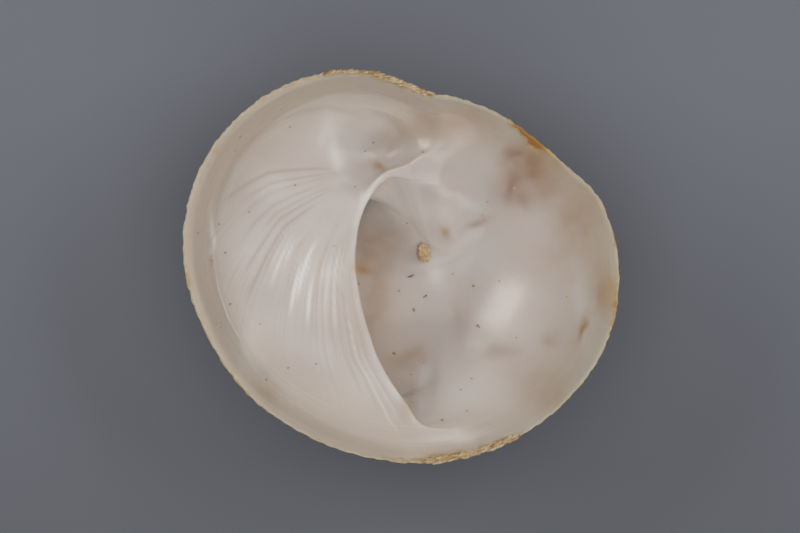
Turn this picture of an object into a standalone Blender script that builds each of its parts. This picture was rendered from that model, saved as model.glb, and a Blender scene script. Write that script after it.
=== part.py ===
"""A circular slipper shell, lying on its back with the open side up.

The shell is one piece: a round bowl whose outside ends in a small coiled spire,
with a thin shelf, the septum, across the left of the hollow. The shelf's free edge
overhangs a deep pouch and rolls into a small umbilical pit at the coil's axis.

The frame: +Z up, origin on the small flat spot that the shell rests on, +X towards
the shell's wide side, +Y towards the end where the spire lies.
"""

import bmesh
import bpy
import numpy as np

MM = 0.001

# Sectors of the mesh go round the hollow, closest together where the crest is.
SECTORS = 82
SECTOR_CROWDING = 0.5
CROWDED_DIRECTION = 118.0

# Driving dimensions, in millimetres, with angles in degrees counter-clockwise from +X.
# The rim, as its distance from the origin.
RIM = {
    0: 14.97, 20: 14.34, 30: 13.42, 40: 12.88, 60: 12.45, 73: 12.25, 81: 12.14,
    90: 12.78, 100: 13.65, 120: 14.74, 140: 15.32, 160: 15.38, 180: 14.93,
    200: 14.18, 220: 13.72, 240: 13.32, 260: 13.31, 280: 13.65, 300: 14.08,
    320: 14.60, 340: 15.06,
}
RIM_HEIGHT = 9.7
RIM_LIFT_AT_SPIRE = 0.45
RIM_WALL = {0: 0.4, 60: 0.4, 90: 0.45, 150: 0.65, 180: 0.75, 215: 0.55, 260: 0.4, 310: 0.4}
RIM_BEVEL = 0.3
EDGE_ROUND = 0.14
FLOOR_WALL = 0.9
# The flat spot that the shell rests on lies under its centre of mass.
FLAT_DEPTH = 0.4
FLAT_RINGS_SHARE = 0.2
BOTTOM = (-1.25, 1.2)
BOTTOM_REACH = 0.6
BOWL_POWER = {0: 2.3, 60: 2.0, 90: 2.1, 180: 2.3, 270: 2.3}

# The spire on the outside, a second and smaller bowl beside the first.
APEX = (-0.9, 6.4)
APEX_HEIGHT = 0.35
SPIRE_REACH = {0: 5.9, 60: 6.1, 95: 6.5, 150: 7.8, 200: 8.3, 260: 6.4, 310: 5.7}
SPIRE_BLEND = {0: 0.3, 60: 0.25, 100: 0.6, 160: 1.6, 220: 1.4, 270: 0.4, 320: 0.3}
SPIRE_BLEND_INSIDE = {0: 1.4, 60: 1.8, 100: 1.4, 160: 2.4, 220: 2.1, 270: 1.2, 320: 1.2}
SPIRE_POWER = 2.2
SPIRE_WALL = 0.9
NOTCH_DIRECTION = 65.5
NOTCH_REACH = 6.1
WHORL_GROWTH = 2.9
SUTURE_DEPTH = 0.34
SUTURE_WIDTH = 0.5

# The hollow, laid out from a point on its floor.
FLOOR_CENTRE = (3.0, -2.0)
FREE_EDGE = (
    (2.6, 5.85), (0.75, 5.95), (-0.05, 6.10), (-0.72, 6.13), (-1.25, 5.82),
    (-1.80, 5.25), (-2.45, 4.20), (-2.90, 2.90), (-3.10, 1.50), (-2.92, -1.58),
    (-2.25, -4.32), (-1.53, -6.37), (-0.92, -7.50), (-0.22, -8.56), (0.48, -9.51),
    (1.00, -10.35), (1.55, -10.80), (2.40, -10.98), (4.2, -10.9),
    (7.6, -9.4), (11.0, -4.6), (11.2, 1.5), (9.0, 4.6), (5.4, 5.6),
)
# The crest is a ridge that parts from the free edge and runs up to the wall, with
# the umbilical slit sunk along its far side. Its distances are beyond the free edge.
CREST = {
    20: 1.0, 60: 1.6, 80: 2.1, 90: 2.2, 98: 1.85, 105: 1.2, 110: 0.75, 114: 0.5,
    119: 0.45, 140: 0.5, 260: 0.5, 300: 0.6, 340: 0.8,
}
CREST_FALL = {
    60: 0, 80: 0, 90: 0.1, 97: 0.4, 106: 0.7, 112: 0.65, 119: 0.35, 127: 0, 180: 0,
    300: 0,
}
SLIT_DEPTH = {70: 0, 94: 0, 99: 0.1, 106: 0.3, 115: 0.8, 121: 0.4, 128: 0, 180: 0, 300: 0}
PIT_WALL = 0.6
CREST_ROUND = 0.14
SLIT_WIDTH = 0.35
SLIT_REACH = 1.25
MARGIN_SHARE = 0.2
# How far the pouch runs in beyond the free edge; where negative, an open slope.
POUCH_DEPTH = {
    20: -4.5, 56: -4.6, 80: -4.8, 92: -4.6, 104: -3.8, 111: -2.7, 117: -1.3, 123: 0.4,
    130: 2.6, 140: 5.4, 152: 7.6, 176: 8.5, 204: 7.6, 227: 5.0, 244: 2.4, 252: 0.9,
    258: -0.6, 264: -2.2, 272: -3.6, 281: -4.4, 294: -4.5, 310: -4.5, 340: -4.5,
}
POUCH_BACK_SHARE = 0.3
POUCH_BACK_BULGE = 0.35
# How steeply an open slope meets the shelf's edge.
SLOPE_TOP = 0.45
# One where the edge overhangs, minus one where the wall slopes openly.
OVERHANG = {
    20: -1, 70: -1, 90: -1, 104: -0.9, 112: -0.5, 119: 0.3, 126: 0.9, 145: 1, 200: 1,
    244: 1, 252: 0.8, 259: 0.2, 267: -0.5, 276: -0.9, 286: -1, 300: -1, 340: -1,
}
# One where the shelf stands clear of the wall, nought where there is no shelf.
SHELF_SHARE = {
    20: 0, 60: 0, 78: 0.1, 88: 0.5, 96: 0.9, 104: 1, 150: 1, 200: 1, 250: 1, 262: 1,
    272: 0.8, 284: 0.4, 298: 0.1, 312: 0, 340: 0,
}
SHELF_HEIGHT = 8.2
SHELF_FALL_LEFT = 0.2
SHELF_LEFT = {"from": -3, "to": -13}
SHELF_RISE_FRONT = 0.4
SHELF_FRONT = {"from": -3, "to": -10}
SHELF_BLEND = 0.12
SHELF_BLEND_FRONT = 1.5
SHELF_EDGE_WALL = 0.34
SHELF_ROOT_WALL = 0.7
SHELF_ROOT_REACH = 8
SHELF_DISH = {"at": (-7.6, 0.0), "across": (3.6, 6.5), "depth": 0.7}
OLD_SHELF_PIT = {"at": (-1.3, 7.8), "across": (3.0, 2.2), "depth": 2.2}
# Swellings of the wall: beside the crest, under it, and where the free edge ends.
WALL_SWELLS = (
    {"at": (3.2, 8.6), "across": (2.8, 2.4), "depth": 1.7},
    {"at": (0.4, 6.0), "across": (2.9, 4.2), "depth": 4.5},
    {"at": (3.2, -10.6), "across": (4.2, 3.0), "depth": 2.6},
)


def around(points, degrees):
    """A smooth closed curve through {angle: value}, read at the given angles."""
    angles = np.array(sorted(points), float)
    values = np.array([points[a] for a in sorted(points)], float)
    angles = np.concatenate([angles[-2:] - 360, angles, angles[:2] + 360])
    values = np.concatenate([values[-2:], values, values[:2]])
    slopes = (values[2:] - values[:-2]) / (angles[2:] - angles[:-2])
    slopes = np.concatenate([slopes[:1], slopes, slopes[-1:]])
    degrees = np.mod(degrees, 360)
    i = np.clip(np.searchsorted(angles, degrees) - 1, 1, len(angles) - 3)
    span = angles[i + 1] - angles[i]
    t = (degrees - angles[i]) / span
    return (
        values[i] * (2 * t**3 - 3 * t**2 + 1)
        + slopes[i] * span * (t**3 - 2 * t**2 + t)
        + values[i + 1] * (3 * t**2 - 2 * t**3)
        + slopes[i + 1] * span * (t**3 - t**2)
    )


def smooth_max(a, b, width):
    return 0.5 * (a + b + np.sqrt((a - b) ** 2 + width**2))


def smooth_min(a, b, width):
    return -smooth_max(-a, -b, width)


def ease(t):
    t = np.clip(t, 0, 1)
    return t * t * (3 - 2 * t)


def hump(x, y, form):
    """A round swelling or pit, one at its middle and nought away from it."""
    dx = (x - form["at"][0]) / form["across"][0]
    dy = (y - form["at"][1]) / form["across"][1]
    return form["depth"] * np.exp(-dx * dx - dy * dy)


def bearing(x, y):
    return np.degrees(np.arctan2(y, x))


def rim_height(angle):
    return RIM_HEIGHT + RIM_LIFT_AT_SPIRE * np.sin(np.radians(angle))


def add_spire(x, y, bowl, wall, blends):
    """Merge the spire's smaller bowl into the large one."""
    dx, dy = x - APEX[0], y - APEX[1]
    turn = bearing(dx, dy)
    reach = around(SPIRE_REACH, turn) - 0.5 * wall
    spire = APEX_HEIGHT + RIM_HEIGHT * (np.hypot(dx, dy) / reach) ** SPIRE_POWER
    return smooth_min(bowl, spire + wall, around(blends, turn))


def suture_groove(x, y):
    """The spiral groove between the whorls, winding in from the notch in the rim."""
    dx, dy = x - APEX[0], y - APEX[1]
    reach = np.maximum(np.hypot(dx, dy), 0.05)
    turn = np.mod(bearing(dx, dy) - NOTCH_DIRECTION, 360) / 360
    growth = np.log(WHORL_GROWTH)
    whorl = np.log(reach / NOTCH_REACH) / growth - (turn - 1)
    nearest = np.minimum(np.round(whorl), 0)
    away = reach * growth * np.abs(whorl - nearest)
    size = np.minimum(1, reach / 3)
    return size * SUTURE_DEPTH * np.exp(-((away / (SUTURE_WIDTH * size)) ** 2))


def outside_point(way, share):
    """On the outside of the shell, a bowl with the spire's whorls beside it."""
    angle = bearing(way.rim_x, way.rim_y)
    aside = 1 - ease(share / BOTTOM_REACH)
    x = way.rim_x * share + BOTTOM[0] * aside
    y = way.rim_y * share + BOTTOM[1] * aside
    bowl = (rim_height(angle) + FLAT_DEPTH) * share ** around(BOWL_POWER, angle)
    bowl = np.maximum(bowl - FLAT_DEPTH, 0)
    both = add_spire(x, y, bowl, 0, SPIRE_BLEND)
    groove = suture_groove(x, y) * ease((bowl - 0.2) / 0.5) * ease(3 * (1 - share))
    return x, y, np.where(bowl > 0, np.maximum(both + groove, 0), 0)


def wall_height(x, y):
    """The inside of the bowl, as if it had no shelf."""
    angle = bearing(x, y)
    share = np.hypot(x, y) / (around(RIM, angle) - around(RIM_WALL, angle))
    power = around(BOWL_POWER, angle)
    bowl = FLOOR_WALL + (rim_height(angle) - RIM_BEVEL - FLOOR_WALL) * share**power
    both = add_spire(x, y, bowl, SPIRE_WALL, SPIRE_BLEND_INSIDE)
    swell = sum(hump(x, y, form) for form in WALL_SWELLS)
    return both + swell * np.clip(1 - share**6, 0, 1)


def frontness(y):
    """Nought over most of the shelf, one at its end away from the spire."""
    return ease((y - SHELF_FRONT["from"]) / (SHELF_FRONT["to"] - SHELF_FRONT["from"]))


def shelf_height(x, y):
    """The top of the septum: the shelf, the old shelf's pit, and the crest with its slit."""
    left = np.clip((x - SHELF_LEFT["from"]) / (SHELF_LEFT["to"] - SHELF_LEFT["from"]), 0, 2)
    low = SHELF_HEIGHT - SHELF_FALL_LEFT * left**2 + SHELF_RISE_FRONT * frontness(y)
    low = low - hump(x, y, SHELF_DISH)

    dx, dy = x - FLOOR_CENTRE[0], y - FLOOR_CENTRE[1]
    turn = bearing(dx, dy)
    beyond = np.hypot(dx, dy) - free_edge_distance(turn) - around(CREST, turn)
    low = low - hump(x, y, OLD_SHELF_PIT) * (1 - np.exp(-np.maximum(beyond, 0) / PIT_WALL))
    fall = around(CREST_FALL, turn) * smooth_max(-beyond, 0, CREST_ROUND)
    sink = ease(beyond / SLIT_WIDTH) * np.exp(-((beyond / SLIT_REACH) ** 2))
    return low - fall - np.clip(around(SLIT_DEPTH, turn), 0, 9) * sink


def visible_height(x, y, share):
    """What is seen from above: the shelf where there is one, and the wall elsewhere."""
    angle = bearing(x, y)
    wall = wall_height(x, y)
    blend = SHELF_BLEND + SHELF_BLEND_FRONT * frontness(y)
    top = smooth_max(wall, shelf_height(x, y), blend)
    out = np.hypot(x, y) / (around(RIM, angle) - around(RIM_WALL, angle))
    return wall + share * (top - wall) * np.clip(1 - out**10, 0, 1)


def rim_distance(degrees):
    """From the floor's centre to the rim, along each direction."""
    low, high = np.zeros_like(degrees), np.full_like(degrees, 40.0)
    for _ in range(40):
        middle = (low + high) / 2
        x, y = from_floor_centre(degrees, middle)
        inside = np.hypot(x, y) < around(RIM, bearing(x, y))
        low, high = np.where(inside, middle, low), np.where(inside, high, middle)
    return low


def from_floor_centre(degrees, distance):
    turn = np.radians(degrees)
    return (
        FLOOR_CENTRE[0] + distance * np.cos(turn),
        FLOOR_CENTRE[1] + distance * np.sin(turn),
    )


def free_edge_distance(degrees):
    points = {}
    for x, y in FREE_EDGE:
        dx, dy = x - FLOOR_CENTRE[0], y - FLOOR_CENTRE[1]
        points[float(bearing(dx, dy)) % 360] = float(np.hypot(dx, dy))
    return around(points, degrees)


class Way:
    """A direction out from the floor's centre, with the stops along it."""

    def __init__(self, degrees):
        self.degrees = degrees
        self.rim = rim_distance(degrees)
        self.rim_x, self.rim_y = from_floor_centre(degrees, self.rim)
        self.inner = self.rim - around(RIM_WALL, bearing(self.rim_x, self.rim_y))
        self.edge = free_edge_distance(degrees)
        self.end = self.edge + around(POUCH_DEPTH, degrees)
        self.over = around(OVERHANG, degrees)
        self.share = np.clip(around(SHELF_SHARE, degrees), 0, 1)
        self.lip = 0.5 * SHELF_EDGE_WALL
        self.crest = self.edge + around(CREST, degrees)
        self.slit = self.crest + SLIT_WIDTH
        self.margin = self.inner - MARGIN_SHARE * (self.inner - self.slit)

    def top(self, distance):
        x, y = from_floor_centre(self.degrees, distance)
        return x, y, visible_height(x, y, self.share)

    def underside(self, distance):
        x, y, top = self.top(distance)
        rooted = ease((distance - self.edge) / SHELF_ROOT_REACH)
        wall = SHELF_EDGE_WALL + (SHELF_ROOT_WALL - SHELF_EDGE_WALL) * rooted
        wall = wall * self.share * np.clip(1 + self.over, 0, 1)
        return x, y, np.maximum(top - wall, wall_height(x, y))


def floor(way, t):
    """Out to where the pouch ends or the open slope begins."""
    x, y = from_floor_centre(way.degrees, t * way.end)
    return x, y, wall_height(x, y)


def pouch(way, t):
    """The pouch's back and its roof out to the free edge, or the open slope."""
    closed = np.clip(way.over, 0, 1)
    bulge = np.sin(np.pi * np.clip(t / POUCH_BACK_SHARE, 0, 1)) * POUCH_BACK_BULGE
    run = t + (ease(t) - t) * closed
    start = way.edge + way.lip * way.over
    distance = way.end + (start - way.end) * run + closed * bulge
    x, y, roof = way.underside(distance)
    rise = ease(t / (POUCH_BACK_SHARE + (1 - POUCH_BACK_SHARE) * (1 - closed)))
    rise = rise + SLOPE_TOP * (1 - closed) * (t * t - rise)
    wall = wall_height(x, y)
    return x, y, wall + (roof - wall) * rise


def lip(way, t):
    """Round the free edge, from under it to over it."""
    out = 1 - np.sin(np.pi * t)
    distance = way.edge + way.lip * np.where(t < 0.5, way.over * out, out)
    x, y, low = way.underside(distance)
    _, _, top = way.top(distance)
    return x, y, low + (top - low) * (1 - np.cos(np.pi * t)) / 2


def crest(way, t):
    start = way.edge + way.lip
    return way.top(start + t * (way.crest - start))


def slit(way, t):
    return way.top(way.crest + t * (way.slit - way.crest))


def shelf(way, t):
    return way.top(way.slit + t * (way.margin - way.slit))


def margin(way, t):
    return way.top(way.margin + t * (way.inner - way.margin))


def rim(way, t):
    """Up the bevel and over the rim's edge."""
    out = 0.5 - 0.5 * np.cos(np.pi * t)
    x, y = from_floor_centre(way.degrees, way.inner + (way.rim - way.inner) * out)
    return x, y, rim_height(bearing(x, y)) - RIM_BEVEL * (1 - t) - EDGE_ROUND * t**4


def outside(way, t):
    """From the rim in, under the shell, to the flat spot."""
    x, y, z = outside_point(way, 1 - (1 - FLAT_RINGS_SHARE) * t)
    return x, y, z - EDGE_ROUND * (1 - t) ** 12


def flat(way, t):
    return outside_point(way, FLAT_RINGS_SHARE * (1 - t))


# The mesh's rings in order, in under the shelf, out over it, and back underneath.
RINGS = {
    floor: 8,
    pouch: 9,
    lip: 3,
    crest: 3,
    slit: 3,
    shelf: 10,
    margin: 5,
    rim: 3,
    outside: 14,
    flat: 1,
}


def place(ring, degrees):
    """Where the vertices of these rings and directions go, in millimetres."""
    out = np.zeros((len(ring), 3))
    start = 0
    for part, count in RINGS.items():
        here = (ring >= start) & (ring <= start + count)
        way = Way(degrees[here])
        out[here] = np.stack(part(way, (ring[here] - start) / count), axis=1)
        start += count
    return out


def shell_mesh():
    """A ball whose rings are drawn out into the shell, so that it stays closed."""
    rings = sum(RINGS.values())
    form = bmesh.new()
    bmesh.ops.create_uvsphere(form, u_segments=SECTORS, v_segments=rings, radius=1)
    ball = np.array([v.co for v in form.verts])
    ring = np.round(np.arccos(np.clip(ball[:, 2], -1, 1)) / np.pi * rings)
    turn = bearing(ball[:, 0], ball[:, 1])
    lean = np.radians(turn - CROWDED_DIRECTION)
    degrees = turn - np.degrees(SECTOR_CROWDING) * np.sin(lean)
    for vertex, point in zip(form.verts, place(ring, degrees)):
        vertex.co = point * MM
    mesh = bpy.data.meshes.new("shell")
    form.to_mesh(mesh)
    form.free()
    return mesh


def shell_material():
    material = bpy.data.materials.new("shell")
    material.use_nodes = True
    surface = material.node_tree.nodes["Principled BSDF"]
    surface.inputs["Base Color"].default_value = (0.72, 0.66, 0.60, 1)
    surface.inputs["Roughness"].default_value = 0.28
    surface.inputs["Metallic"].default_value = 0
    return material


def main():
    for old in list(bpy.data.objects):
        bpy.data.objects.remove(old, do_unlink=True)
    mesh = shell_mesh()
    mesh.materials.append(shell_material())
    mesh.shade_smooth()
    shell = bpy.data.objects.new("shell", mesh)
    bpy.context.scene.collection.objects.link(shell)


main()
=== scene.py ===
"""The looks of a circular slipper shell that lies on its back, seen from straight above.

The shell is drawn out of a ball, ring by ring, as its plain solid is, but finer, and
with the relief that the plain solid leaves out: the growth ridges that fan over the
septum, the wrinkles in the bowl, the chipped rim and the growth rings outside.
Places are in millimetres until a mesh is finished. A place that was read off the
photograph is given in its pixels, and seen() turns it into millimetres.
"""

import bmesh
import bpy
import numpy as np
from mathutils import Matrix, Vector
from mathutils.bvhtree import BVHTree


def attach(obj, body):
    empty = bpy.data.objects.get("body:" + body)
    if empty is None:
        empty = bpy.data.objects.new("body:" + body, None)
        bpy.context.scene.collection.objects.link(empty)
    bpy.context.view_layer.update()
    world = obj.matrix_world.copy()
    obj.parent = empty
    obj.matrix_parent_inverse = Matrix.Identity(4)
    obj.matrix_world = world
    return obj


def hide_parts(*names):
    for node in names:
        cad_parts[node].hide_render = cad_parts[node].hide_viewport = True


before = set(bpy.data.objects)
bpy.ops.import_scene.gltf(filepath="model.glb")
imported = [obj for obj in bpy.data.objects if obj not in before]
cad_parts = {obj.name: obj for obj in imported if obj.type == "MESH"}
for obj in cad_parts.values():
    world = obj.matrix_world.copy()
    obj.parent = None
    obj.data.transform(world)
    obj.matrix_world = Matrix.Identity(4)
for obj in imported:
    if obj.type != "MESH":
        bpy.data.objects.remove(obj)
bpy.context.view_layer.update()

MM = 0.001

# The photograph: its middle, the pixel over the shell's origin, and a pixel's size.
PHOTO_WIDTH = 800
PHOTO_MIDDLE = (400.0, 266.5)
ORIGIN_PIXEL = (401.5, 267.0)
PIXEL = 0.0685

# Sectors of the mesh go round the hollow, closest together where the crest is.
SECTORS = 450
SECTOR_CROWDING = 0.5
CROWDED_DIRECTION = 118.0

# The shell's shape, in millimetres, with angles in degrees counter-clockwise from +X.
# The rim, as its distance from the origin.
RIM = {
    0: 14.97, 20: 14.34, 30: 13.42, 40: 12.88, 60: 12.45, 73: 12.25, 81: 12.14,
    90: 12.78, 100: 13.65, 120: 14.74, 140: 15.32, 160: 15.38, 180: 14.93,
    200: 14.18, 220: 13.72, 240: 13.32, 260: 13.31, 280: 13.65, 300: 14.08,
    320: 14.60, 340: 15.06,
}
RIM_HEIGHT = 9.7
RIM_LIFT_AT_SPIRE = 0.45
RIM_WALL = {0: 0.4, 60: 0.4, 90: 0.45, 150: 0.65, 180: 0.75, 215: 0.55, 260: 0.4, 310: 0.4}
RIM_BEVEL = 0.3
EDGE_ROUND = 0.14
FLOOR_WALL = 0.9
BOWL_POWER = {0: 2.3, 60: 2.0, 90: 2.1, 180: 2.3, 270: 2.3}

# The flat spot that the shell rests on lies under its centre of mass.
FLAT_DEPTH = 0.4
FLAT_RINGS_SHARE = 0.2
BOTTOM = (-1.25, 1.2)
BOTTOM_REACH = 0.6

# The spire on the outside, a second and smaller bowl beside the first.
APEX = (-0.9, 6.4)
APEX_HEIGHT = 0.35
SPIRE_REACH = {0: 5.9, 60: 6.1, 95: 6.5, 150: 7.8, 200: 8.3, 260: 6.4, 310: 5.7}
SPIRE_BLEND = {0: 0.3, 60: 0.25, 100: 0.6, 160: 1.6, 220: 1.4, 270: 0.4, 320: 0.3}
SPIRE_BLEND_INSIDE = {0: 1.4, 60: 1.8, 100: 1.4, 160: 2.4, 220: 2.1, 270: 1.2, 320: 1.2}
SPIRE_POWER = 2.2
SPIRE_WALL = 0.9
NOTCH_DIRECTION = 65.5
NOTCH_REACH = 6.1
WHORL_GROWTH = 2.9
SUTURE_DEPTH = 0.34
SUTURE_WIDTH = 0.5

# The hollow, laid out from a point on its floor.
FLOOR_CENTRE = (3.0, -2.0)
FREE_EDGE = (
    (2.6, 5.85), (0.75, 5.95), (-0.05, 6.10), (-0.72, 6.13), (-1.25, 5.82),
    (-1.80, 5.25), (-2.45, 4.20), (-2.90, 2.90), (-3.10, 1.50), (-2.92, -1.58),
    (-2.25, -4.32), (-1.53, -6.37), (-0.92, -7.50), (-0.22, -8.56), (0.48, -9.51),
    (1.00, -10.35), (1.55, -10.80), (2.40, -10.98), (4.2, -10.9),
    (7.6, -9.4), (11.0, -4.6), (11.2, 1.5), (9.0, 4.6), (5.4, 5.6),
)
# The crest is a ridge that parts from the free edge and runs up to the wall, with
# the umbilical slit sunk along its far side. Its distances are beyond the free edge.
CREST = {
    20: 1.0, 60: 1.6, 80: 2.1, 90: 2.2, 98: 1.85, 105: 1.2, 110: 0.75, 114: 0.5,
    119: 0.45, 140: 0.5, 260: 0.5, 300: 0.6, 340: 0.8,
}
CREST_FALL = {
    60: 0, 80: 0, 90: 0.1, 97: 0.4, 106: 0.7, 112: 0.65, 119: 0.35, 127: 0, 180: 0,
    300: 0,
}
SLIT_DEPTH = {70: 0, 94: 0, 99: 0.1, 106: 0.3, 115: 0.8, 121: 0.4, 128: 0, 180: 0, 300: 0}
PIT_WALL = 0.6
CREST_ROUND = 0.14
SLIT_WIDTH = 0.35
SLIT_REACH = 1.25
MARGIN_SHARE = 0.2
# How far the pouch runs in beyond the free edge; where negative, an open slope. Its
# two ends run out more softly here than in the plain solid.
POUCH_DEPTH = {
    20: -4.5, 56: -4.6, 80: -4.8, 92: -4.8, 104: -4.5, 111: -3.9, 117: -3.0, 123: -1.6, 130: 0.6,
    140: 4.2, 152: 7.2, 176: 8.5, 204: 7.4, 225: 4.4, 236: 2.3, 244: 0.5, 251: -1.0, 258: -2.4,
    265: -3.5, 273: -4.1, 281: -4.4, 294: -4.5, 310: -4.5, 340: -4.5,
}
POUCH_BACK_SHARE = 0.3
POUCH_BACK_BULGE = 0.35
# How much of an open slope's rise is left to its top, by the shelf's edge.
SLOPE_TOP = {60: 0.45, 90: 0.6, 106: 1, 130: 1, 155: 0.5, 225: 0.5, 245: 1, 262: 1, 290: 0.45}
# One where the edge overhangs, minus one where the wall slopes openly.
OVERHANG = {
    20: -1, 70: -1, 90: -1, 104: -0.9, 112: -0.5, 119: 0, 127: 0.5, 142: 1, 200: 1,
    226: 1, 238: 0.8, 250: 0.3, 259: -0.1, 267: -0.5, 276: -0.9, 286: -1, 300: -1, 340: -1,
}
# One where the shelf stands clear of the wall, nought where there is no shelf.
SHELF_SHARE = {
    20: 0, 60: 0, 78: 0.1, 88: 0.5, 96: 0.9, 104: 1, 150: 1, 200: 1, 250: 1, 262: 1,
    272: 0.8, 284: 0.4, 298: 0.1, 312: 0, 340: 0,
}
SHELF_HEIGHT = 8.2
SHELF_FALL_LEFT = 0.2
SHELF_LEFT = {"from": -3, "to": -13}
SHELF_RISE_FRONT = 0.4
SHELF_FRONT = {"from": -3, "to": -10}
SHELF_BLEND = 0.12
SHELF_BLEND_FRONT = 1.5
SHELF_EDGE_WALL = 0.34
SHELF_ROOT_WALL = 0.7
SHELF_ROOT_REACH = 8
SHELF_DISH = {"at": (-7.6, 0.0), "across": (3.6, 6.5), "depth": 0.7}
OLD_SHELF_PIT = {"at": (-1.3, 7.8), "across": (3.0, 2.2), "depth": 2.2}
# Swellings of the wall: beside the crest, under it, and where the free edge ends.
WALL_SWELLS = (
    {"at": (3.2, 8.6), "across": (2.8, 2.4), "depth": 1.7},
    {"at": (0.4, 6.0), "across": (2.9, 4.2), "depth": 4.5},
    {"at": (3.2, -10.6), "across": (4.2, 3.0), "depth": 2.6},
)

# The growth ridges fan over the septum from a centre by the umbilical slit. A place's
# fan angle is how many degrees it lies behind the free edge, which is the last ridge.
FAN_CENTRE = (-1.13, 6.64)
FAN_EDGE_POINTS = slice(5, 17)
FAN_SQUEEZE = {"reach": (2, 8, 14), "share": (0.78, 0.97, 0.92)}
# The fine ridges: how many degrees wide, how high and the seed, then how long they are.
RIDGE_SIZES = ((6.0, 0.033, 11), (2.8, 0.018, 12), (1.3, 0.01, 13))
RIDGE_LENGTH = 9
RIDGE_PATCHES = {"least": 0.75, "swing": 0.6, "long": 2.2}
# Between which fan angles and distances ridges and lines show, and how softly they end.
RIDGES_SHOWN = {"angle": (2, 85, 14), "reach": (2.5, 17, 4)}
LINES_SHOWN = {"angle": (1.5, 88, 8), "reach": (2.0, 18, 4)}
LINE_WANDER = {"degrees": 0.5, "long": 1.6, "apart": 9}
LINE_ENDS = 1.8
# Each of these ridges: its fan angle, its width, how bold it is, and where it starts and
# ends. They stand out from the septum, and their whiter colour is a painted highlight.
BOLD_RIDGES_AND_HIGHLIGHTS = (
    (29.2, 0.9, 1.0, 6.2, 11.2),
    (31.2, 0.75, 0.9, 8.0, 12.4),
    (27.2, 0.5, 0.6, 7.0, 10.0),
    (23.9, 0.7, 0.9, 8.4, 12.4),
    (38.9, 0.7, 0.7, 7.0, 10.2),
    (41.4, 0.7, 0.7, 7.4, 11.6),
    (44.2, 0.5, 0.4, 8.0, 11.0),
    (19.6, 0.9, 0.5, 7.2, 9.2),
    (16.0, 0.8, 0.4, 6.6, 11.0),
    (12.5, 0.6, 0.4, 5.5, 12.0),
    (6.8, 0.3, 0.35, 9.0, 18.5),
    (4.6, 0.25, 0.25, 11.0, 18.0),
)
BOLD_HEIGHT = 0.05
# Darker growth lines: fan angle, width, how dark, and where they start and end.
DARK_LINES = (
    (78.0, 0.9, 0.8, 3.0, 12.0), (72.5, 0.7, 0.5, 3.0, 10.5), (67.5, 0.8, 0.4, 3.5, 11.0),
    (61.0, 0.7, 0.5, 4.0, 11.5), (56.5, 0.8, 0.4, 3.0, 10.0), (52.8, 0.7, 0.7, 3.5, 12.6),
    (48.0, 0.9, 0.7, 4.5, 13.4), (45.8, 0.5, 0.5, 7.0, 12.0), (35.0, 0.7, 0.4, 6.0, 12.0),
    (33.4, 0.4, 0.4, 7.5, 12.5), (22.0, 0.6, 0.4, 6.0, 13.0), (14.4, 0.6, 0.4, 5.0, 14.0),
    (11.0, 0.5, 0.4, 5.0, 16.0), (8.1, 0.4, 0.4, 5.0, 17.0), (3.7, 0.3, 0.3, 4.0, 17.0),
)

# The crease where the septum meets the wall, in the photograph's pixels, from its low
# end at the left, up over the old shelf's pit and down to the crest.
CREASE = (
    (262, 366), (240, 343), (226, 320), (216, 290), (212, 260), (213, 230), (216, 200),
    (228, 165), (250, 135), (285, 113), (325, 105), (360, 109), (384, 115), (397, 122),
    (407, 134), (412, 143), (411, 157),
)
# The step down to the septum, and the deeper one round the pit, with the points of the
# crease where each starts or ends.
CREASE_STEP = {"deep": 0.07, "wide": 0.12, "reach": 1.4, "start": 0, "end": 9, "soft": 2}
PIT_STEP = {"deep": 0.26, "wide": 1.0, "reach": 2.4, "start": 8, "soft": 4}
# Where slopes of the wall run softly together: places and reaches in pixels.
SOFT_WALLS = ((414, 400, 46), (408, 212, 60), (406, 388, 24), (384, 204, 22))
SOFT_PIT = ((421, 144, 26), (421, 144, 20))
SOFT_CREST = ((438, 147, 11),)
SOFTENING = {"rounds": 90, "factor": 0.8, "off_the_edge": 0.15}
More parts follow.
